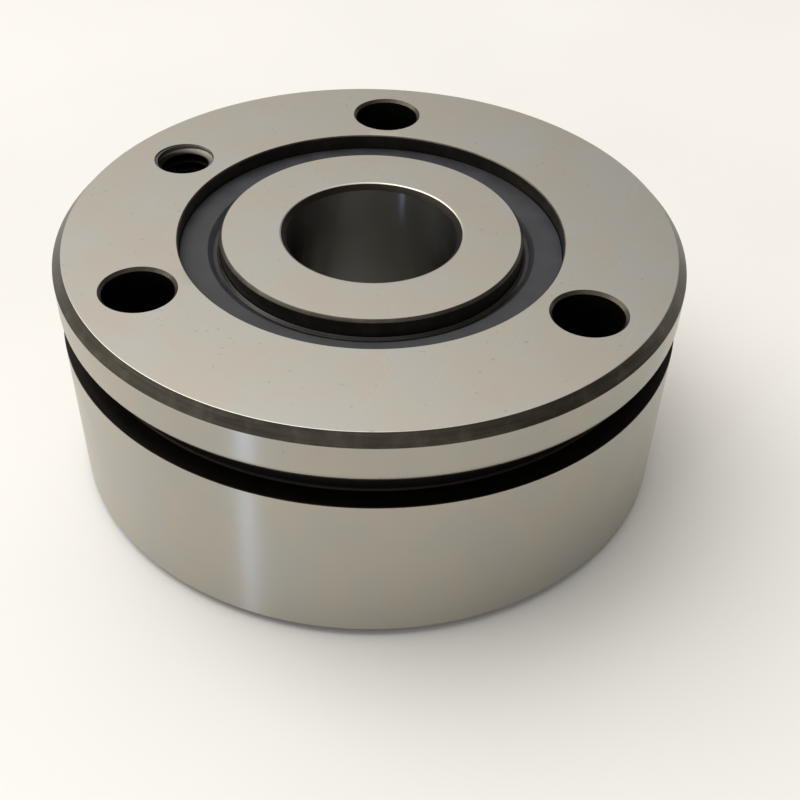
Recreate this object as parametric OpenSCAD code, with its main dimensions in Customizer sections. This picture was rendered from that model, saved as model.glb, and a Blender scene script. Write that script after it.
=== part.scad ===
// Double row angular contact thrust ball bearing for a screw drive, sealed on both sides.
// The thick outer ring is bolted on through its three holes, and both halves of the split
// inner ring are clamped on the spindle. The contact lines of the two rows spread outwards,
// so the outer ring has one central rib and each inner half has its shoulder at its face.
// The origin is on the axis at the bottom face, +Z along the axis, lubrication port up.

/* [Envelope] */
// Diameter of the spindle bore
bore_d = 17; // [12:0.5:20]
// Outside diameter of the outer ring
outside_d = 62; // [61:0.5:80]
// Height over the two faces
height = 25; // [24:0.5:34]
// Outside diameter of the inner ring at its faces
shoulder_d = 30; // [28:0.1:31]

/* [Ball rows] */
// Diameter of one ball
ball_d = 5.556; // [4.8:0.001:6]
// Number of balls in each row
ball_count = 15; // [10:1:15]
// Angle of the contact line from the radial plane
contact_angle = 60; // [52:1:66]
// Radius of a raceway's groove as a share of the ball diameter
race_conformity = 0.52; // [0.515:0.005:0.54]
// Height that the inner shoulder rises past the ball's contact point
shoulder_rise = 0.389; // [0.2:0.001:0.6]
// Running clearance between a ball and its raceway at the contact line
race_gap = 0.05; // [0.04:0.01:0.08]
// Depth of the ground relief on the open side of each raceway
race_relief = 0.14; // [0.08:0.01:0.3]
// Height that the rib reaches inwards past the pitch circle
rib_reach = 0.4; // [0.1:0.1:1.2]

/* [Crown cages] */
// Thickness of the cage ring behind the pockets
cage_web = 1; // [0.7:0.1:1.4]
// Clearance of a ball in its spherical pocket
pocket_gap = 0.12; // [0.08:0.01:0.18]
// Clearance of the cage to the rings on both sides
cage_gap = 0.4; // [0.25:0.05:0.7]
// Reach of the horns past the centres of the balls
horn_reach = 1.1; // [0.9:0.1:1.5]
// Radial thickness of the horns at their tips
horn_t = 2; // [1.4:0.1:2.4]
// Width of the slot between two horns
horn_slot = 0.4; // [0.2:0.1:0.6]
// Clearance between the cage and the seal above it
cage_seal_gap = 0.4; // [0.3:0.1:0.8]

/* [Seals] */
// Depth of the seal's flat outer side below the face
seal_depth = 1.5; // [1:0.1:2]
// Thickness of the rubber over the steel insert
rubber_t = 0.9; // [0.7:0.1:1.1]
// Thickness of the sheet steel insert
insert_t = 0.4; // [0.3:0.05:0.5]
// Height of the insert's turned-in flange under its disc
flange_h = 0.4; // [0.2:0.1:0.6]
// Depth of the snap groove that holds the rim of the seal
snap_depth = 0.4; // [0.2:0.05:0.5]
// Width of the snap groove
snap_w = 0.9; // [0.6:0.1:1]
// Width of the seal lip, from the inner ring to the flat of the seal
lip_w = 1.2; // [1:0.1:1.8]
// Depth of the valley behind the lip
lip_valley = 0.5; // [0.3:0.05:0.6]
// Running clearance of the lip on the inner ring
lip_gap = 0.05; // [0.04:0.01:0.08]
// Seating clearance of the seal, the insert and the screws
seat_gap = 0.04; // [0.03:0.01:0.06]

/* [Fixing holes] */
// Pitch circle diameter of the fixing holes and the face port
hole_circle_d = 48; // [47:0.1:49.5]
// Diameter of a fixing hole
hole_d = 6.8; // [5.5:0.1:7.2]
// Number of fixing holes
hole_count = 3; // [2:1:3]
// Chamfer at both mouths of a fixing hole
hole_chamfer = 0.3; // [0.1:0.05:0.5]

/* [Extraction groove] */
// Distance of the groove's upper side from the top face
groove_drop = 4.8; // [3.5:0.1:6]
// Width of the groove
groove_w = 3; // [2:0.1:4]
// Depth of the groove
groove_depth = 2.2; // [1:0.1:2.5]
// Radius of the fillets in the groove's corners
groove_fillet = 0.3; // [0.1:0.05:0.6]
// Height of the turned bevel above the groove
groove_bevel_h = 0.5; // [0.2:0.1:1]
// Radial width of that bevel
groove_bevel_w = 0.25; // [0.1:0.05:0.5]

/* [Edges] */
// Radial width of the outer ring's top chamfer
top_chamfer_w = 0.95; // [0.4:0.05:1.6]
// Height of the outer ring's top chamfer
top_chamfer_h = 1; // [0.4:0.1:1.6]
// Chamfer at the outer ring's bottom edge
bottom_chamfer = 1; // [0.4:0.1:1.6]
// Chamfer of the spindle bore at both faces
bore_chamfer = 0.55; // [0.3:0.05:1]
// Edge break of the inner ring's shoulders and joint
edge_break = 0.25; // [0.1:0.05:0.3]
// Edge break where the outer ring opens for the seal
opening_break = 0.1; // [0.05:0.05:0.3]

/* [Lubrication] */
// Outside diameter of the thread in both lubrication ports
port_d = 6; // [5:0.5:6.5]
// Chamfer at the mouth of a port
port_chamfer = 0.05; // [0.05:0.05:0.4]
// Height of the side port above the bottom face
side_port_z = 10; // [9:0.5:11]
// Diameter of the channel that joins the two ports
channel_d = 2.5; // [1.5:0.1:3]
// Diameter of the inclined drilling through the rib
rib_drill_d = 2; // [1:0.1:2.2]
// Depth of the face port's screw below the face
face_screw_depth = 4.5; // [4:0.1:5]
// Length of the face port's screw
face_screw_l = 5; // [4:0.5:5]
// Depth of the side port's screw below the wall
side_screw_depth = 1; // [0.5:0.1:1.5]
// Length of the side port's screw
side_screw_l = 4; // [3:0.5:4.5]
// Hexagon socket size across its flats
hex_af = 3; // [2.5:0.1:3.2]

/* [Hidden] */
$fn = 96;
over = 1;
drill_point = 59;
first_hole = 90;
port_angle = first_hole + 60;
port_runout = 0.5;
hex_depth_share = 0.45;
screw_bevel = 0.4;
lip_land = 0.3;
lip_rise = 0.3;

bore_r = bore_d / 2;
out_r = outside_d / 2;
mid_z = height / 2;
shoulder_r = shoulder_d / 2;
hole_circle_r = hole_circle_d / 2;
port_r = port_d / 2;
groove_top = height - groove_drop;
groove_bottom = groove_top - groove_w;

// Rows: the inner contact lies below the shoulder, and the contact line gives the pitch circle
ball_r = ball_d / 2;
pitch_r = shoulder_r - shoulder_rise + ball_r * cos(contact_angle);
pocket_r = ball_r + pocket_gap;

// Stack under the top face: seal, insert, cage, balls
seal_top = height - seal_depth;
disc_top = seal_top - rubber_t;
disc_bottom = disc_top - insert_t;
flange_bottom = disc_bottom - flange_h;
cage_top = flange_bottom - cage_seal_gap;
row_z = cage_top - cage_web - pocket_r;
cage_shelf = row_z + pocket_r;
horn_tip = row_z - horn_reach;

// Raceways: each groove's centre lies on the contact line, past the ball's centre
race_r = race_conformity * ball_d;
race_shift = race_r - ball_r - race_gap;
race_dr = race_shift * cos(contact_angle);
race_dz = race_shift * sin(contact_angle);
opening_r = pitch_r - race_dr + race_r + race_relief;
low_r = pitch_r + race_dr - race_r - race_relief;
rib_r = pitch_r - rib_reach;

// Seal: the rim snaps into the outer ring, the lip runs on the inner ring
snap_top = disc_top + snap_w / 2;
snap_bottom = snap_top - snap_w;
rim_r = opening_r - seat_gap;
insert_out_r = rim_r - insert_t;
insert_in_r = shoulder_r + lip_w - edge_break;
flat_in_r = shoulder_r + lip_w;
lip_r = shoulder_r + lip_gap;

// Ports and screws
face_port_bottom = height - face_screw_depth - face_screw_l - port_runout;
side_mouth_r = sqrt(pow(out_r, 2) - pow(port_r + port_chamfer, 2)) - edge_break;
side_port_end = out_r - side_screw_depth - side_screw_l - port_runout;
screw_r = port_r - seat_gap;
rib_drill_run = hole_circle_r - rib_r;
rib_drill_rise = mid_z - side_port_z;

// Puts what is made for the upper row, or for a section of it, at the lower one
module lower() {
    translate([0, 0, height]) mirror([0, 0, 1]) children();
}
module lower_section() {
    translate([0, height]) mirror([0, 1]) children();
}

// A bore down from the origin with a chamfered mouth
module bore_with_mouth(r, depth, chamfer) {
    translate([0, 0, -depth]) cylinder(r = r, h = depth + over);
    translate([0, 0, -chamfer]) cylinder(r1 = r, r2 = r + chamfer, h = chamfer);
    cylinder(r = r + chamfer, h = over);
}

// A tapped port down from the origin, which ends in a drill point
module port(depth) {
    bore_with_mouth(port_r, depth, port_chamfer);
    point_h = port_r / tan(drill_point);
    translate([0, 0, -depth - point_h]) cylinder(r1 = 0, r2 = port_r, h = point_h);
}

// What the outer ring's section loses around the upper row
module outer_row_cut() {
    translate([pitch_r - race_dr, row_z + race_dz]) circle(r = race_r);
    translate([rib_r - over, row_z + race_dz]) square([opening_r - rib_r + over, height - row_z + over]);
    translate([opening_r - over, snap_bottom]) square([snap_depth + over, snap_w]);
    polygon([
        [opening_r - over, height - opening_break - over],
        [opening_r - over, height + over],
        [opening_r + opening_break + over, height + over],
    ]);
}

// The extraction groove, wide open at the wall and rounded in its two corners
module groove_cut() {
    side = groove_depth + over;
    translate([out_r - groove_depth, groove_bottom + groove_fillet])
        square([side, groove_w - 2 * groove_fillet]);
    translate([out_r - groove_depth + groove_fillet, groove_bottom]) square([side, groove_w]);
    for (z = [groove_bottom + groove_fillet, groove_top - groove_fillet])
        translate([out_r - groove_depth + groove_fillet, z]) circle(r = groove_fillet);
    polygon([
        [out_r - groove_bevel_w, groove_top],
        [out_r, groove_top + groove_bevel_h],
        [out_r + over, groove_top + groove_bevel_h],
        [out_r + over, groove_top],
    ]);
}

module outer_section() {
    difference() {
        polygon([
            [rib_r, 0],
            [out_r - bottom_chamfer, 0],
            [out_r, bottom_chamfer],
            [out_r, height - top_chamfer_h],
            [out_r - top_chamfer_w, height],
            [rib_r, height],
        ]);
        groove_cut();
        outer_row_cut();
        lower_section() outer_row_cut();
    }
}

module fixing_hole() {
    translate([0, 0, height]) bore_with_mouth(hole_d / 2, height + over, hole_chamfer);
    lower() translate([0, 0, height]) bore_with_mouth(hole_d / 2, hole_d, hole_chamfer);
}

// From the face port down to the side port, and on through the rib to the ball rows
module lubrication_ways() {
    rotate([0, 0, port_angle]) {
        translate([hole_circle_r, 0, height]) port(height - face_port_bottom);
        translate([side_mouth_r, 0, side_port_z]) rotate([0, 90, 0]) port(side_mouth_r - side_port_end);
        translate([hole_circle_r, 0, side_port_z - channel_d / 2])
            cylinder(d = channel_d, h = face_port_bottom - side_port_z + channel_d / 2);
        translate([hole_circle_r, 0, side_port_z]) rotate([0, -atan2(rib_drill_run, rib_drill_rise), 0])
            cylinder(d = rib_drill_d, h = norm([rib_drill_run, rib_drill_rise]) + over);
    }
}

module outer_ring() {
    color([0.68, 0.66, 0.61]) difference() {
        rotate_extrude() outer_section();
        for (i = [0:hole_count - 1])
            rotate([0, 0, first_hole + i * 360 / hole_count]) translate([hole_circle_r, 0, 0]) fixing_hole();
        lubrication_ways();
    }
}

// The inner half's groove, its low side towards the middle, and its bevelled edges
module inner_section() {
    difference() {
        polygon([
            [bore_r + edge_break, mid_z],
            [shoulder_r, mid_z],
            [shoulder_r, height - edge_break],
            [shoulder_r - edge_break, height],
            [bore_r + bore_chamfer, height],
            [bore_r, height - bore_chamfer],
            [bore_r, mid_z + edge_break],
        ]);
        translate([pitch_r + race_dr, row_z - race_dz]) circle(r = race_r);
        translate([low_r, mid_z - over]) square([pitch_r, row_z - race_dz - mid_z + over]);
    }
}

module inner_ring_half() {
    color([0.7, 0.67, 0.62]) rotate_extrude() inner_section();
}

module ball(i) {
    color([0.8, 0.8, 0.81]) rotate([0, 0, (i - 1) * 360 / ball_count]) translate([pitch_r, 0, row_z]) sphere(r = ball_r);
}

// One moulded crown: a ring behind the balls, with snap pockets between slotted horns
module cage() {
    in_r = shoulder_r + cage_gap;
    ring_out_r = opening_r - cage_gap;
    color([0.85, 0.8, 0.68]) difference() {
        rotate_extrude() polygon([
            [in_r, horn_tip],
            [in_r + horn_t, horn_tip],
            [ring_out_r, cage_shelf - cage_web],
            [ring_out_r, cage_top],
            [in_r, cage_top],
        ]);
        for (i = [1:ball_count]) rotate([0, 0, (i - 1) * 360 / ball_count]) {
            translate([pitch_r, 0, row_z]) sphere(r = pocket_r);
            rotate([0, 0, 180 / ball_count]) translate([in_r - over, -horn_slot / 2, horn_tip - over])
                cube([ring_out_r - in_r + 2 * over, horn_slot, horn_reach + over]);
        }
    }
}

// Rubber section: rim bead in the snap groove, flat over the insert, valley, and lip
module seal() {
    valley_r = (lip_r + flat_in_r) / 2;
    valley_z = seal_top - lip_valley;
    color([0.16, 0.17, 0.2]) rotate_extrude() polygon([
        [flat_in_r, seal_top],
        [valley_r + lip_gap, valley_z],
        [valley_r - lip_rise, valley_z],
        [lip_r, valley_z + lip_rise],
        [lip_r, valley_z + lip_rise - lip_land],
        [valley_r - lip_rise, disc_top],
        [insert_in_r - insert_t, disc_bottom],
        [insert_in_r - seat_gap, disc_bottom],
        [insert_in_r - seat_gap, disc_top],
        [insert_out_r + seat_gap, disc_top],
        [insert_out_r + seat_gap, disc_bottom],
        [rim_r, disc_bottom],
        [rim_r, snap_bottom + seat_gap],
        [rim_r + snap_depth, snap_bottom + seat_gap],
        [rim_r + snap_depth, snap_top - seat_gap],
        [rim_r, snap_top - seat_gap],
        [rim_r, seal_top],
    ]);
}

module seal_insert() {
    color([0.6, 0.6, 0.6]) rotate_extrude() polygon([
        [insert_in_r, disc_bottom],
        [insert_out_r - insert_t, disc_bottom],
        [insert_out_r - insert_t, flange_bottom],
        [insert_out_r, flange_bottom],
        [insert_out_r, disc_top],
        [insert_in_r, disc_top],
    ]);
}

// A socket set screw below the origin, with a cup point at its far end
module set_screw(length) {
    hex_depth = hex_depth_share * length;
    difference() {
        translate([0, 0, -length]) union() {
            cylinder(r1 = screw_r - screw_bevel, r2 = screw_r, h = screw_bevel);
            translate([0, 0, screw_bevel]) cylinder(r = screw_r, h = length - 2 * screw_bevel);
            translate([0, 0, length - screw_bevel])
                cylinder(r1 = screw_r, r2 = screw_r - screw_bevel, h = screw_bevel);
        }
        translate([0, 0, -hex_depth]) linear_extrude(hex_depth + over) circle(d = hex_af / cos(30), $fn = 6);
        translate([0, 0, -length]) cylinder(r1 = hex_af / 2, r2 = 0, h = hex_af / 4);
        translate([0, 0, -length - over]) cylinder(r = hex_af / 2, h = over);
    }
}

module face_port_screw() {
    color([0.2, 0.2, 0.2]) rotate([0, 0, port_angle])
        translate([hole_circle_r, 0, height - face_screw_depth]) set_screw(face_screw_l);
}

module side_port_screw() {
    color([0.2, 0.2, 0.2]) rotate([0, 0, port_angle])
        translate([out_r - side_screw_depth, 0, side_port_z]) rotate([0, 90, 0]) set_screw(side_screw_l);
}

outer_ring();
inner_ring_half();  // inner_ring_upper
lower() inner_ring_half();  // inner_ring_lower
cage();  // cage_upper
lower() cage();  // cage_lower
for (i = [1:ball_count]) ball(i);
for (i = [1:ball_count]) lower() ball(i);
seal();  // seal_upper
lower() seal();  // seal_lower
seal_insert();  // seal_insert_upper
lower() seal_insert();  // seal_insert_lower
face_port_screw();
side_port_screw();
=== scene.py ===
"""Looks of a sealed, bolt-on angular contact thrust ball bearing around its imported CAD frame.

The rings and seals are turned here from the same sizes as the solids, with the small edge radii
that a lathe and a tumbling drum leave, so that their edges catch the light. The ports get their
threads. Everything else keeps its CAD mesh and gets its material.
"""
from math import atan2, cos, degrees, pi, radians, sin, sqrt, tan

import bmesh
import bpy
from mathutils import Matrix, Vector


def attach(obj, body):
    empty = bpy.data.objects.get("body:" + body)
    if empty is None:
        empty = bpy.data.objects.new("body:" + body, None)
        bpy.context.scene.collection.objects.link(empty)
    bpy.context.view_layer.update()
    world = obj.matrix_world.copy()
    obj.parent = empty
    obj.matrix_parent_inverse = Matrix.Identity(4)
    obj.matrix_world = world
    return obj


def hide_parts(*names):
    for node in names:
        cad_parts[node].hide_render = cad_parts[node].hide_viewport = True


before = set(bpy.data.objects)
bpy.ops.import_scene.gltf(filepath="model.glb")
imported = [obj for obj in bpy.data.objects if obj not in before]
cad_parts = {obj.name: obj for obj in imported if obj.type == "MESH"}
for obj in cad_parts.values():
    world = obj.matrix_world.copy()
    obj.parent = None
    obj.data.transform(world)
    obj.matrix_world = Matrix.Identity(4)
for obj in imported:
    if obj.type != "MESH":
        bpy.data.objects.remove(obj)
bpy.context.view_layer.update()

MM = 0.001

# Sizes of the solids in mm. Heights are those of the upper row, and the lower one mirrors it
HEIGHT = 25.0
OUT_R = 31.0
BORE_R = 8.5
BORE_CHAMFER = 0.55
SHOULDER_R = 15.0
EDGE_BREAK = 0.25

# Raceways: the balls' circle, the groove's radius, and how far its centre lies off the ball's
PITCH_R = 16.0
ROW_Z = 17.502
RACE_R = 2.889
RACE_DR = 0.0306
RACE_DZ = 0.0529
RIB_R = 15.6
INNER_LOW_R = 13.002
INNER_RACE_TOP = 20.148

# The recess that holds a seal, with the groove that the seal's bead snaps into
OPENING_R = 18.998
SNAP_R = 19.398
SNAP_LOW = 22.15
SNAP_TOP = 23.05
OPENING_BREAK = 0.1

# The seal's rubber: lip, valley and flat above the steel insert, and its rim with the bead
LIP_R = 15.05
LIP_TOP = 23.3
VALLEY_IN_R = 15.325
VALLEY_OUT_R = 15.675
VALLEY_Z = 23.0
FLAT_IN_R = 16.2
SEAL_TOP = 23.5
SEAL_LOW = 22.2
SEAL_LOW_R = 15.55
INSERT_IN_R = 15.91
INSERT_OUT_R = 18.598
INSERT_TOP = 22.6
RIM_R = 18.958
BEAD_R = 19.358
BEAD_LOW = 22.19
BEAD_TOP = 23.01

# The outer ring's wall: its chamfers, the extraction groove and the bevel above it
TOP_CHAMFER_R = 30.05
TOP_CHAMFER_Z = 24.0
BEVEL_Z = 20.7
BEVEL_R = 30.75
GROOVE_TOP = 20.2
GROOVE_LOW = 17.2
GROOVE_R = 28.8
GROOVE_FILLET = 0.3
BOTTOM_CHAMFER = 1.0

# Fixing holes and lubrication ports
HOLE_CIRCLE_R = 24.0
HOLE_ANGLES = (90, 210, 330)
HOLE_R = 3.4
HOLE_CHAMFER = 0.3
PORT_ANGLE = 150
PORT_R = 3.0
PORT_SINK = 0.12
DRILL_POINT = 1.8
FACE_PORT_DEPTH = 10.0
SIDE_PORT_DEPTH = 5.1
SIDE_PORT_Z = 10.0
SIDE_MOUTH_R = 30.598
# How far a drill starts outside its mouth, so that none of its corners lies in the ring's own
# surface. At the port in the wall it also has to clear the wall's bulge of 0.4 mm
HOLE_RUN_OUT = 0.5
PORT_RUN_OUT = 0.9

# The ports' threads, each of which ends just above its set screw
THREAD_PITCH = 1.0
THREAD_DEPTH = 0.54
FACE_THREAD_END = 4.45
SIDE_THREAD_END = 0.9
# The root stands this far off the drilled wall, so that only one of them shows
THREAD_LIFT = 0.012
# The flat end reaches this far into the drilled wall
THREAD_SEAT = 0.03

# A ring is turned in this many steps, so that its outline has no corners at any view's size
RING_STEPS = 384
HOLE_STEPS = 72
RACE_STEPS = 16
# Facets of a small edge radius, and how many degrees an edge turns before it stays sharp
EDGE_FACETS = 3
SHARP_FROM = 28


# Colours and materials

def srgb(code):
    """An sRGB hex value as the linear colour that Blender's sockets take."""
    parts = [int(code[i:i + 2], 16) / 255 for i in (1, 3, 5)]
    linear = [c / 12.92 if c <= 0.04045 else ((c + 0.055) / 1.055) ** 2.4 for c in parts]
    return (*linear, 1.0)


def connect(tree, node, inputs):
    """Gives a node its inputs by name or number: values to set, or sockets to link."""
    for name, value in inputs.items():
        if isinstance(value, bpy.types.NodeSocket):
            tree.links.new(value, node.inputs[name])
        else:
            node.inputs[name].default_value = value


def add(tree, kind, inputs=None, **settings):
    """Adds one node with its own settings and its inputs."""
    node = tree.nodes.new("ShaderNode" + kind)
    for key, value in settings.items():
        setattr(node, key, value)
    connect(tree, node, inputs or {})
    return node


def blank_material(name):
    """A named material with its Principled shader and the place on the object, in millimetres."""
    material = bpy.data.materials.new(name)
    material.use_nodes = True
    tree = material.node_tree
    tree.nodes.clear()
    shader = add(tree, "BsdfPrincipled")
    add(tree, "OutputMaterial", {"Surface": shader.outputs[0]})
    place = add(tree, "TexCoord").outputs["Object"]
    in_mm = add(tree, "VectorMath", {0: place, "Scale": 1 / MM}, operation="SCALE").outputs[0]
    return material, tree, shader, in_mm


def speckle(tree, place, size, low, high, detail=2.0, stretch=(1, 1, 1), turn=0):
    """Noise with features of that size in mm, sharpened between two levels, as a 0 to 1 value.
    turn is in degrees about Z, and sets which way stretched features lie."""
    if turn:
        turned_by = {"Vector": place, "Rotation": (0, 0, radians(turn))}
        place = add(tree, "Mapping", turned_by).outputs[0]
    scaled = {"Vector": place, "Scale": [s / size for s in stretch]}
    spread = add(tree, "Mapping", scaled).outputs[0]
    noise = add(tree, "TexNoise", {"Vector": spread, "Scale": 1.0, "Detail": detail}).outputs[0]
    return add(tree, "MapRange", {0: noise, 1: low, 2: high, 3: 0.0, 4: 1.0}).outputs[0]


def blend_colour(tree, share, first, second):
    """A colour between two, each a hex value or a socket."""
    colour = [srgb(c) if isinstance(c, str) else c for c in (first, second)]
    mix = add(tree, "Mix", {0: share, 6: colour[0], 7: colour[1]}, data_type="RGBA")
    return mix.outputs[2]


def range_of(tree, share, low, high):
    """A 0 to 1 value spread over another range."""
    return add(tree, "MapRange", {0: share, 1: 0.0, 2: 1.0, 3: low, 4: high}).outputs[0]


def lay_of_tool(tree, place, spacing, along):
    """Lines that run round the axis, as a tool or wheel leaves them: a value that changes every
    spacing mm across them and every along mm round the ring. It counts r + 2.7 z, which also
    changes across both chamfers."""
    axes = add(tree, "SeparateXYZ", {0: place})
    flat = add(tree, "CombineXYZ", {0: axes.outputs[0], 1: axes.outputs[1]}).outputs[0]
    radius = add(tree, "VectorMath", {0: flat}, operation="LENGTH").outputs["Value"]
    across = add(tree, "Math", {0: axes.outputs[2], 1: 2.7, 2: radius}, operation="MULTIPLY_ADD")
    slow = spacing / along
    slow_x = add(tree, "Math", {0: axes.outputs[0], 1: slow}, operation="MULTIPLY").outputs[0]
    slow_y = add(tree, "Math", {0: axes.outputs[1], 1: slow}, operation="MULTIPLY").outputs[0]
    lines = add(tree, "CombineXYZ", {0: slow_x, 1: slow_y, 2: across.outputs[0]}).outputs[0]
    noise = add(tree, "TexNoise", {"Vector": lines, "Scale": 1 / spacing, "Detail": 3.0})
    return noise.outputs[0]


def ground_steel(name, light, cool, warm, roughness, anisotropy, lay_depth, scratch_turns=()):
    """100Cr6 bearing steel, hardened and ground: a pale, slightly warm grey with a satin gloss.
    The wheel leaves very fine lines round the axis; oil film and handling leave soft cool and warm
    patches, and a few dark specks and short light scratches."""
    material, tree, shader, place = blank_material(name)
    patches = speckle(tree, place, size=7.0, low=0.42, high=0.62)
    stains = speckle(tree, place, size=4.0, low=0.52, high=0.7)
    specks = speckle(tree, place, size=0.45, low=0.81, high=0.86, detail=0.0)
    lay = lay_of_tool(tree, place, spacing=0.12, along=6.0)
    colour = blend_colour(tree, patches, light, cool)
    colour = blend_colour(tree, range_of(tree, stains, 0.0, 0.6), colour, warm)
    colour = blend_colour(tree, range_of(tree, specks, 0.0, 0.25), colour, "#77706A")
    for turn in scratch_turns:
        scratch = speckle(tree, place, size=0.16, low=0.7, high=0.74, detail=1.0,
                          stretch=(0.012, 1, 0.3), turn=turn)
        colour = blend_colour(tree, range_of(tree, scratch, 0.0, 0.25), colour, "#DAD7CF")
    rough = add(tree, "Math", {0: patches, 1: 0.02, 2: roughness}, operation="MULTIPLY_ADD")
    bump = add(tree, "Bump", {"Strength": 0.25, "Distance": lay_depth * MM, "Height": lay})
    connect(tree, shader, {"Base Color": colour, "Roughness": rough.outputs[0],
                           "Normal": bump.outputs[0], "Metallic": 1.0})
    if anisotropy:
        # The lines run round the axis, so the gloss is drawn out across them
        round_axis = add(tree, "Tangent", direction_type="RADIAL", axis="Z").outputs[0]
        connect(tree, shader, {"Tangent": round_axis, "Anisotropic": anisotropy,
                               "Anisotropic Rotation": 0.25})
    return material


# Ground flat on a surface grinder, then handled: stained and scratched, equally glossy each way
face_steel = ground_steel("face_ground_bearing_steel", "#C5C0B7", "#C2C1BD", "#C6BDB6",
                          roughness=0.3, anisotropy=0, lay_depth=0.004, scratch_turns=(25, 110))
# Ground between centres: reflections run up and down the wall as soft upright streaks.
# Its colours are darker copies of the face's steel: painted shade on the wall
wall_steel = ground_steel("cylindrical_ground_bearing_steel", "#AEA99E", "#ABA9A2", "#AFA79D",
                          roughness=0.25, anisotropy=1.0, lay_depth=0.004)
# Honed: the same streaks, tighter. Its colours are darker still: painted shade inside the bore
bore_steel = ground_steel("honed_bearing_steel", "#A3A19B", "#9E9F9E", "#A49F98",
                          roughness=0.21, anisotropy=1.0, lay_depth=0.002)


def turned_black_steel(name, valley, ridge, worn_colour, roughness):
    """Bearing steel left as turned and hardened: the oven's dark brown-grey oxide stays on what
    the wheel doesn't reach. The turning lines show as fine lighter and darker rings."""
    material, tree, shader, place = blank_material(name)
    lay = lay_of_tool(tree, place, spacing=0.25, along=8.0)
    worn = speckle(tree, place, size=1.6, low=0.45, high=0.75)
    colour = blend_colour(tree, lay, valley, ridge)
    colour = blend_colour(tree, range_of(tree, worn, 0.0, 0.35), colour, worn_colour)
    bump = add(tree, "Bump", {"Strength": 0.5, "Distance": 0.01 * MM, "Height": lay})
    connect(tree, shader, {"Base Color": colour, "Normal": bump.outputs[0], "Metallic": 1.0,
                           "Roughness": range_of(tree, lay, roughness, roughness + 0.15)})
    return material


# The chamfers and the recess: dark, but rubbed enough to show their turning lines
dark_steel = turned_black_steel("hardened_turned_bearing_steel", "#3A362F", "#5E5A52", "#777168",
                                roughness=0.28)
# The same in the groove and the holes, where oil stays and nothing rubs: nearly black
oiled_steel = turned_black_steel("oiled_turned_bearing_steel", "#231F1B", "#35312C", "#3D3833",
                                 roughness=0.38)


def tapped_steel(name, bright, shade_colour, roughness, shade_from, black_from):
    """Bearing steel as a tap cuts it, with painted shade down its port: the first turn stays
    bright, down to the first of its two depths in mm, and from there the colour darkens as painted
    shade, until it is black from black_from mm on. The piece's own Z points out of its port, from 0
    at the mouth."""
    material, tree, shader, place = blank_material(name)
    height = add(tree, "SeparateXYZ", {0: place}).outputs[2]
    # The colour darkens with depth down the port: painted shade
    depths = {0: height, 1: -black_from, 2: -shade_from, 3: 0.0, 4: 1.0}
    unshaded_share = add(tree, "MapRange", depths).outputs[0]
    chatter = speckle(tree, place, size=0.3, low=0.3, high=0.7)
    bump = add(tree, "Bump", {"Strength": 0.3, "Distance": 0.004 * MM, "Height": chatter})
    connect(tree, shader, {"Base Color": blend_colour(tree, unshaded_share, shade_colour, bright),
                           "Normal": bump.outputs[0], "Metallic": 1.0,
                           "Roughness": range_of(tree, chatter, roughness, roughness + 0.1)})
    return material


# Its dark part below the first turn is painted shade inside the port
thread_steel = tapped_steel("tapped_bearing_steel", "#ABA69D", "#1B1815",
                            roughness=0.45, shade_from=0.1, black_from=0.75)


def moulded_nitrile(name, dark, light, roughness):
    """Nitrile rubber, moulded and left matt by the mould: blue-black, with a soft satin sheen,
    a faint bloom in patches and a very fine grain."""
    material, tree, shader, place = blank_material(name)
    bloom = speckle(tree, place, size=3.0, low=0.4, high=0.7)
    grain = speckle(tree, place, size=0.12, low=0.3, high=0.7)
    bump = add(tree, "Bump", {"Strength": 0.3, "Distance": 0.01 * MM, "Height": grain})
    connect(tree, shader, {"Base Color": blend_colour(tree, bloom, dark, light),
                           "Normal": bump.outputs[0], "IOR": 1.45,
                           "Roughness": range_of(tree, bloom, roughness, roughness + 0.1)})
    return material


rubber = moulded_nitrile("moulded_nitrile_rubber", "#303238", "#393B41", roughness=0.45)
# The lip wears a film of the bearing's grease, which makes it shine. Its darker colour is partly
# the grease and partly painted shade in the valley beside the inner ring
greased_shaded_rubber = moulded_nitrile("greased_shaded_nitrile_rubber", "#1B1A1B", "#242323", roughness=0.2)


def small_part(name, light, dark, roughness, metallic, grain_mm, depth):
    """A plain finish with two close shades and a grain of its own size in mm."""
    material, tree, shader, place = blank_material(name)
    grain = speckle(tree, place, grain_mm, low=0.35, high=0.65)
    bump = add(tree, "Bump", {"Strength": 0.4, "Distance": depth * MM, "Height": grain})
    connect(tree, shader, {"Base Color": blend_colour(tree, grain, light, dark),
                           "Normal": bump.outputs[0], "Metallic": metallic,
                           "Roughness": range_of(tree, grain, roughness, roughness + 0.1)})
    return material


# Lapped and polished 100Cr6: almost a mirror, with a faint cloudiness
ball_steel = small_part("lapped_ball_steel", "#CFCFD0", "#C6C6C8",
                        roughness=0.05, metallic=1.0, grain_mm=1.2, depth=0.0003)
# Glass-filled polyamide 66, injection moulded: creamy, and slightly rough where fibres lie near
# the skin
polyamide = small_part("moulded_polyamide", "#DED4BC", "#D2C6AB",
                       roughness=0.42, metallic=0.0, grain_mm=0.25, depth=0.004)
# Cold-rolled sheet steel, stamped and phosphated for bonding: dull grey
sheet_steel = small_part("stamped_sheet_steel", "#8F8F8C", "#7E7E7C",
                         roughness=0.4, metallic=1.0, grain_mm=0.4, depth=0.002)
# Alloy steel with black oxide: near black with a soft metallic gloss
black_steel = small_part("black_oxide_steel", "#3B3A39", "#2C2B2B",
                         roughness=0.35, metallic=1.0, grain_mm=0.3, depth=0.003)


# Turned pieces

def circle_point(r, z, angle):
    """A point of a section in mm, turned to an angle in radians, in metres."""
    return r * cos(angle) * MM, r * sin(angle) * MM, z * MM


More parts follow.
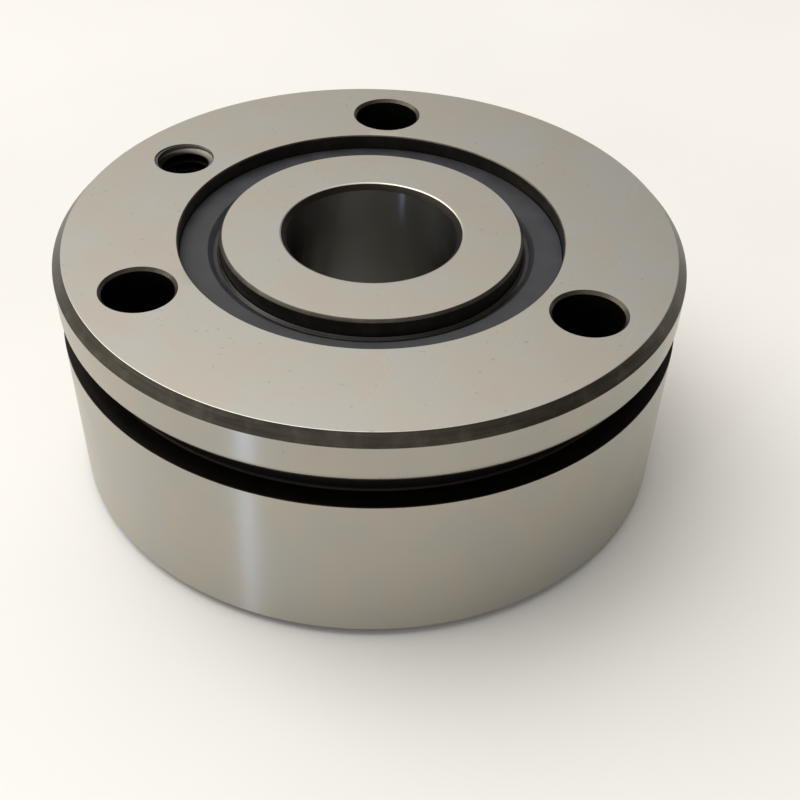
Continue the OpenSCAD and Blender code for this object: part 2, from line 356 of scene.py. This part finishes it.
def arc(centre_r, centre_z, radius, start, end, finish):
    """Points on a raceway of the section, between two angles in degrees."""
    steps = [radians(start + (end - start) * i / RACE_STEPS) for i in range(RACE_STEPS + 1)]
    return [(centre_r + radius * cos(a), centre_z + radius * sin(a), 0, finish) for a in steps]


def soften(section):
    """The section with each corner that has an edge radius replaced by a small arc."""
    result = []
    for i, (r, z, edge, finish) in enumerate(section):
        before, after = section[i - 1], section[(i + 1) % len(section)]
        if not edge:
            result.append((r, z, finish))
            continue
        corner = Vector((r, z))
        back = (Vector(before[:2]) - corner).normalized()
        on = (Vector(after[:2]) - corner).normalized()
        half = back.angle(on) / 2
        centre = corner + (back + on).normalized() * (edge / sin(half))
        first = corner + back * (edge / tan(half)) - centre
        last = corner + on * (edge / tan(half)) - centre
        for k in range(EDGE_FACETS + 1):
            point = centre + first.lerp(last, k / EDGE_FACETS).normalized() * edge
            result.append((point.x, point.y, before[3] if k < EDGE_FACETS else finish))
    return result


def as_object(name, shape, finishes):
    """Turns a bmesh into an object with these materials."""
    mesh = bpy.data.meshes.new(name)
    shape.to_mesh(mesh)
    shape.free()
    for finish in finishes:
        mesh.materials.append(finish)
    piece = bpy.data.objects.new(name, mesh)
    bpy.context.scene.collection.objects.link(piece)
    return piece


def turned(name, section, finishes, steps=RING_STEPS):
    """A piece turned about Z. section is a closed line of (r, z, edge radius, finish of the
    surface that follows) in mm, and finishes are the materials that it counts."""
    points = soften(section)
    shape = bmesh.new()
    rings = [[shape.verts.new(circle_point(r, z, 2 * pi * i / steps)) for r, z, _ in points]
             for i in range(steps)]
    for i, ring in enumerate(rings):
        following = rings[(i + 1) % steps]
        for k, (r, _, finish) in enumerate(points):
            on = (k + 1) % len(points)
            if r or points[on][0]:
                face = shape.faces.new((ring[k], ring[on], following[on], following[k]))
                face.material_index = finish
    bmesh.ops.remove_doubles(shape, verts=shape.verts, dist=1e-8)
    bmesh.ops.recalc_face_normals(shape, faces=shape.faces)
    return as_object(name, shape, finishes)


def applied(piece, modifier_type, **settings):
    """Applies one modifier to a piece."""
    modifier = piece.modifiers.new(modifier_type.lower(), modifier_type)
    for key, value in settings.items():
        setattr(modifier, key, value)
    graph = bpy.context.evaluated_depsgraph_get()
    result = bpy.data.meshes.new_from_object(piece.evaluated_get(graph))
    piece.modifiers.clear()
    old, piece.data = piece.data, result
    result.name = piece.name
    bpy.data.meshes.remove(old)


def crisp(piece):
    """Smooth shading that stops at real edges and leaves flat faces flat."""
    piece.data.shade_smooth()
    piece.data.set_sharp_from_angle(angle=radians(SHARP_FROM))
    applied(piece, "WEIGHTED_NORMAL", keep_sharp=True, weight=50)


def riding(piece, body, slot, *nodes):
    """Hands a piece to its CAD body and hides the nodes that it stands for. Its slot is not used.
    """
    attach(piece, body)
    if nodes:
        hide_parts(*nodes)


def at_lower_row(section):
    """The same section at the lower row, read the other way round."""
    turned_over = [(r, HEIGHT - z, edge) for r, z, edge, _ in section]
    finish = [f for _, _, _, f in section]
    return [point + (finish[i - 1],) for i, point in enumerate(turned_over)][::-1]


GROUND_FACE, GROUND_WALL, DARK, HONED, OILED = range(5)
ring_finishes = (face_steel, wall_steel, dark_steel, bore_steel, oiled_steel)

# Upper half of the outer ring's inner side, from the rib up to the top face
outer_race_r = PITCH_R - RACE_DR
outer_race_z = ROW_Z + RACE_DZ
race_start = degrees(atan2(-sqrt(RACE_R ** 2 - (outer_race_r - RIB_R) ** 2), RIB_R - outer_race_r))
inner_side = [
    (RIB_R, HEIGHT / 2, 0, DARK),
    *arc(outer_race_r, outer_race_z, RACE_R, race_start, 0, HONED),
    (OPENING_R, outer_race_z, 0, DARK),
    (OPENING_R, SNAP_LOW, 0.05, DARK),
    (SNAP_R, SNAP_LOW, 0, DARK),
    (SNAP_R, SNAP_TOP, 0, DARK),
    (OPENING_R, SNAP_TOP, 0.05, DARK),
    (OPENING_R, HEIGHT - OPENING_BREAK, 0.03, DARK),
    (OPENING_R + OPENING_BREAK, HEIGHT, 0.05, GROUND_FACE),
]
outer_side = [
    (TOP_CHAMFER_R, HEIGHT, 0.09, DARK),
    (OUT_R, TOP_CHAMFER_Z, 0.08, GROUND_WALL),
    (OUT_R, BEVEL_Z, 1.0, DARK),
    (BEVEL_R, GROOVE_TOP, 0.06, OILED),
    (GROOVE_R, GROOVE_TOP, GROOVE_FILLET, OILED),
    (GROOVE_R, GROOVE_LOW, GROOVE_FILLET, OILED),
    (OUT_R, GROOVE_LOW, 0.08, GROUND_WALL),
    (OUT_R, BOTTOM_CHAMFER, 0.06, DARK),
    (OUT_R - BOTTOM_CHAMFER, 0.0, 0.06, GROUND_FACE),
]
outer = turned("outer_ring_body", inner_side + outer_side + at_lower_row(inner_side[1:]),
               ring_finishes)


def standing_at(angle, radius, z):
    """A place on the ring, with X pointing outwards there."""
    return (Matrix.Rotation(radians(angle), 4, "Z")
            @ Matrix.Translation((radius * MM, 0, z * MM)))


def drilled(piece, drills):
    """Takes turned forms out of a piece. Each drill is a section and where it stands."""
    shape = bmesh.new()
    for k, (section, place) in enumerate(drills):
        drill = turned(f"drill_{k}", section, ring_finishes, HOLE_STEPS)
        drill.data.transform(place)
        shape.from_mesh(drill.data)
        bpy.data.objects.remove(drill)
    cutter = as_object("drills", shape, ring_finishes)
    applied(piece, "BOOLEAN", object=cutter, operation="DIFFERENCE", solver="EXACT")
    bpy.data.objects.remove(cutter)


# A fixing hole right through, with its chamfers carried on past both faces
hole_mouth_r = HOLE_R + HOLE_CHAMFER + HOLE_RUN_OUT
hole_section = [
    (0, -HOLE_RUN_OUT, 0, DARK),
    (hole_mouth_r, -HOLE_RUN_OUT, 0, DARK),
    (HOLE_R, HOLE_CHAMFER, 0, OILED),
    (HOLE_R, HEIGHT - HOLE_CHAMFER, 0, DARK),
    (hole_mouth_r, HEIGHT + HOLE_RUN_OUT, 0, DARK),
    (0, HEIGHT + HOLE_RUN_OUT, 0, DARK),
]


def port_section(depth):
    """A port's section below its mouth at height 0: the countersink, and the drilled wall down
    to the drill point."""
    return [
        (0, -depth - DRILL_POINT, 0, OILED),
        (PORT_R, -depth, 0, OILED),
        (PORT_R, -PORT_SINK, 0, DARK),
        (PORT_R + PORT_SINK + PORT_RUN_OUT, PORT_RUN_OUT, 0, DARK),
        (0, PORT_RUN_OUT, 0, DARK),
    ]


face_port = standing_at(PORT_ANGLE, HOLE_CIRCLE_R, HEIGHT)
side_port = standing_at(PORT_ANGLE, SIDE_MOUTH_R, SIDE_PORT_Z) @ Matrix.Rotation(pi / 2, 4, "Y")
holes = [(hole_section, standing_at(angle, HOLE_CIRCLE_R, 0)) for angle in HOLE_ANGLES]
drilled(outer, holes + [(port_section(FACE_PORT_DEPTH), face_port),
                        (port_section(SIDE_PORT_DEPTH), side_port)])


def tapped(name, depth, place):
    """The metric thread inside a port: one sleeve whose inner face winds down from the countersink
    to a flat end at depth. The sections of a turn are an eighth of flat root, flank, a quarter of
    flat crest, flank, as ISO threads have. The winding starts 1.5 turns above the mouth, where the
    countersink cuts it off, and ends below the flat end."""
    turn = [(0, 0), (0.125, 0), (0.4375, 1), (0.6875, 1)]
    turns = int(depth / THREAD_PITCH) + 3

    def inner(i, turn_part, height):
        """Radius and height of a point of the inner face, by its step round and its turn."""
        z = THREAD_PITCH * (1.5 - turn_part - i / HOLE_STEPS)
        if z <= -depth:
            return PORT_R + THREAD_SEAT, -depth
        z = min(z, -PORT_SINK)
        return max(PORT_R - THREAD_LIFT - THREAD_DEPTH * height, PORT_R + PORT_SINK + z), z

    shape = bmesh.new()
    columns = []
    for i in range(HOLE_STEPS + 1):
        wanted = [inner(i, k + part, height) for k in range(turns) for part, height in turn]
        columns.append([shape.verts.new(circle_point(r, z, 2 * pi * i / HOLE_STEPS))
                        for r, z in wanted])
    for left, right in zip(columns, columns[1:]):
        for k in range(len(left) - 1):
            shape.faces.new((left[k], left[k + 1], right[k + 1], right[k]))
    bmesh.ops.remove_doubles(shape, verts=shape.verts, dist=1e-7)
    bmesh.ops.dissolve_degenerate(shape, edges=shape.edges, dist=1e-7)
    bmesh.ops.recalc_face_normals(shape, faces=shape.faces)
    thread = as_object(name, shape, (thread_steel,))
    thread.matrix_world = place
    crisp(thread)
    riding(thread, "outer", "ground_ring_steel")


tapped("face_port_thread", FACE_THREAD_END, face_port)
tapped("side_port_thread", SIDE_THREAD_END, side_port)
crisp(outer)
riding(outer, "outer", "ground_ring_steel", "outer_ring")

# The inner ring's upper half, its raceway and its bevelled edges
inner_race_r = PITCH_R + RACE_DR
inner_race_z = ROW_Z - RACE_DZ
race_top = degrees(atan2(sqrt(RACE_R ** 2 - (inner_race_r - SHOULDER_R) ** 2),
                         SHOULDER_R - inner_race_r))
inner_section = [
    (BORE_R + EDGE_BREAK, HEIGHT / 2, 0.03, GROUND_FACE),
    (INNER_LOW_R, HEIGHT / 2, 0.05, DARK),
    (INNER_LOW_R, inner_race_z, 0, DARK),
    *arc(inner_race_r, inner_race_z, RACE_R, 180, race_top, HONED)[:-1],
    (SHOULDER_R, INNER_RACE_TOP, 0, DARK),
    (SHOULDER_R, HEIGHT - EDGE_BREAK, 0.04, DARK),
    (SHOULDER_R - EDGE_BREAK, HEIGHT, 0.1, GROUND_FACE),
    # The bore chamfer takes the near-black finish: a painted reflection of the dark room in front
    (BORE_R + BORE_CHAMFER, HEIGHT, 0.28, OILED),
    (BORE_R, HEIGHT - BORE_CHAMFER, 0.05, HONED),
    (BORE_R, HEIGHT / 2 + EDGE_BREAK, 0.03, DARK),
]
for row, section in (("upper", inner_section), ("lower", at_lower_row(inner_section))):
    ring = turned(f"inner_ring_half_{row}", section, ring_finishes)
    crisp(ring)
    riding(ring, "inner", "ground_ring_steel", f"inner_ring_{row}")

# The moulded rubber of a seal, with the mould's soft edges, from the flat's inner edge inwards: the
# greased valley and lip, the underside with the insert's pocket, the bead in the snap groove
MATT, GREASED_SHADED = range(2)
seal_section = [
    (FLAT_IN_R, SEAL_TOP, 0.08, MATT),
    # The valley and lip take the darker rubber: partly grease, partly painted shade beside the
    # inner ring
    (VALLEY_OUT_R, VALLEY_Z, 0.1, GREASED_SHADED),
    (VALLEY_IN_R, VALLEY_Z, 0.05, GREASED_SHADED),
    (LIP_R, LIP_TOP, 0.03, GREASED_SHADED),
    (LIP_R, VALLEY_Z, 0.02, GREASED_SHADED),
    (VALLEY_IN_R, INSERT_TOP, 0, MATT),
    (SEAL_LOW_R, SEAL_LOW, 0, MATT),
    (INSERT_IN_R, SEAL_LOW, 0, MATT),
    (INSERT_IN_R, INSERT_TOP, 0, MATT),
    (INSERT_OUT_R, INSERT_TOP, 0, MATT),
    (INSERT_OUT_R, SEAL_LOW, 0, MATT),
    (RIM_R, SEAL_LOW, 0, MATT),
    (BEAD_R, BEAD_LOW, 0, MATT),
    (BEAD_R, BEAD_TOP, 0, MATT),
    (RIM_R, BEAD_TOP, 0, MATT),
    (RIM_R, SEAL_TOP, 0.08, MATT),
]
for row, section in (("upper", seal_section), ("lower", at_lower_row(seal_section))):
    ring = turned(f"seal_rubber_{row}", section, (rubber, greased_shaded_rubber))
    crisp(ring)
    riding(ring, "outer", "seal_rubber", f"seal_{row}")

# CAD nodes that keep their mesh; the rings and seals that the pieces above replace don't show
for name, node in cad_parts.items():
    if "ball" in name:
        finish = ball_steel
    elif "cage" in name:
        finish = polyamide
    elif "insert" in name:
        finish = sheet_steel
    else:
        finish = black_steel
    node.data.materials.clear()
    node.data.materials.append(finish)


# Camera, floor and light

# The camera stands close in front and looks down, turned and rolled a little as in the photo. Its
# place is in metres and its angles are in degrees
CAMERA_PLACE = (0.00673, -0.10475, 0.09112)
LOOKS_DOWN = 44.577
TURNED = 1.638
ROLLED = 2.0567
camera_data = bpy.data.cameras.new("camera")
camera_data.sensor_width = 36.0
camera_data.lens = 55.22
camera_data.shift_y = 0.125
camera_data.clip_start = 0.01
camera = bpy.data.objects.new("camera", camera_data)
bpy.context.scene.collection.objects.link(camera)
camera.matrix_world = (
    Matrix.Translation(CAMERA_PLACE)
    @ Matrix.Rotation(radians(TURNED), 4, "Z")
    @ Matrix.Rotation(radians(90 - LOOKS_DOWN), 4, "X")
    @ Matrix.Rotation(radians(ROLLED), 4, "Z")
)
bpy.context.scene.camera = camera

# A white laminated board that reaches this many metres to each side, so that its far edge is the
# horizon. Its faint shades are about as large as the bearing
FLOOR_HALF = 9.0
floor_mesh = bpy.data.meshes.new("floor")
floor_corners = [(x * FLOOR_HALF, y * FLOOR_HALF, 0)
                 for x, y in ((-1, -1), (1, -1), (1, 1), (-1, 1))]
floor_mesh.from_pydata(floor_corners, [], [(0, 1, 2, 3)])
floor = bpy.data.objects.new("floor", floor_mesh)
bpy.context.scene.collection.objects.link(floor)
material, tree, shader, place = blank_material("white_laminated_board")
shades = speckle(tree, place, size=60.0, low=0.35, high=0.65)
connect(tree, shader, {"Base Color": blend_colour(tree, shades, "#F6F5F3", "#F2F1EF"),
                       "Roughness": 0.5})
floor_mesh.materials.append(material)


def panel(name, azimuth, elevation, distance, width, height, strength, colour):
    """A soft box that faces the object from that direction. Angles are in degrees and sizes in
    metres, and strength is its own brightness, where 1 is the picture's white."""
    light = bpy.data.lights.new(name, "AREA")
    light.shape = "RECTANGLE"
    light.size, light.size_y = width, height
    light.energy = strength * width * height * pi
    light.color = srgb(colour)[:3]
    lamp = bpy.data.objects.new(name, light)
    bpy.context.scene.collection.objects.link(lamp)
    a, e = radians(azimuth), radians(elevation)
    way = Vector((cos(a) * cos(e), sin(a) * cos(e), sin(e)))
    lamp.location = way * distance
    lamp.rotation_euler = way.to_track_quat("Z", "Y").to_euler()


panel("window", azimuth=163, elevation=57, distance=1.6, width=1.3, height=1.7, strength=2.0,
      colour="#FFFDFA")
# A slim bluish light low on the left, which gives the wall its narrow upright streak
panel("strip", azimuth=-125, elevation=9, distance=0.6, width=0.01, height=0.2, strength=75.0,
      colour="#BCD4FF")

world = bpy.data.worlds.new("studio")
bpy.context.scene.world = world
world.use_nodes = True
sky = world.node_tree
sky.nodes.clear()
way = add(sky, "TexCoord").outputs["Generated"]


def sky_zone(toward, edge, full, strength):
    """A soft-edged round zone of the sky: from nothing where the direction leans to it by edge,
    up to strength where it leans by full. Both are cosines."""
    both = {0: way, 1: Vector(toward).normalized()}
    lean = add(sky, "VectorMath", both, operation="DOT_PRODUCT").outputs["Value"]
    limits = {0: lean, 1: edge, 2: full, 3: 0.0, 4: strength}
    return add(sky, "MapRange", limits).outputs[0]


# The room: dim all round, with a white ceiling, the lit wall behind, the bright side with the
# window, and a front that is lighter between the left and the front right. A pale haze that is
# even all round lies along the horizon
UP = (0, 0, 1)
DIM = 0.19
front = add(sky, "Math", {0: sky_zone((-0.743, -0.669, 0), -0.02, 0.05, 1.0),
                          1: sky_zone((0.052, -0.999, 0), -0.02, 0.05, 0.3)},
            operation="MULTIPLY").outputs[0]
ceiling = sky_zone(UP, 0.72, 0.92, 0.26)
wall_behind = sky_zone((-0.287, 0.41, 0.866), 0.58, 1.0, 0.92)
window_side = sky_zone((-1, 0.25, 0.2), 0.8, 0.97, 0.45)
haze = sky_zone(UP, 0.34, 0.16, 0.72)
level = add(sky, "Math", {0: front, 1: DIM}, operation="ADD").outputs[0]
for zone in (ceiling, wall_behind, window_side):
    level = add(sky, "Math", {0: level, 1: zone}, operation="ADD").outputs[0]
level = add(sky, "Math", {0: level, 1: haze}, operation="MAXIMUM").outputs[0]
light = add(sky, "Background", {"Color": srgb("#FFFBF3"), "Strength": level})
add(sky, "OutputWorld", {"Surface": light.outputs[0]})

bpy.context.scene.view_settings.view_transform = "Standard"
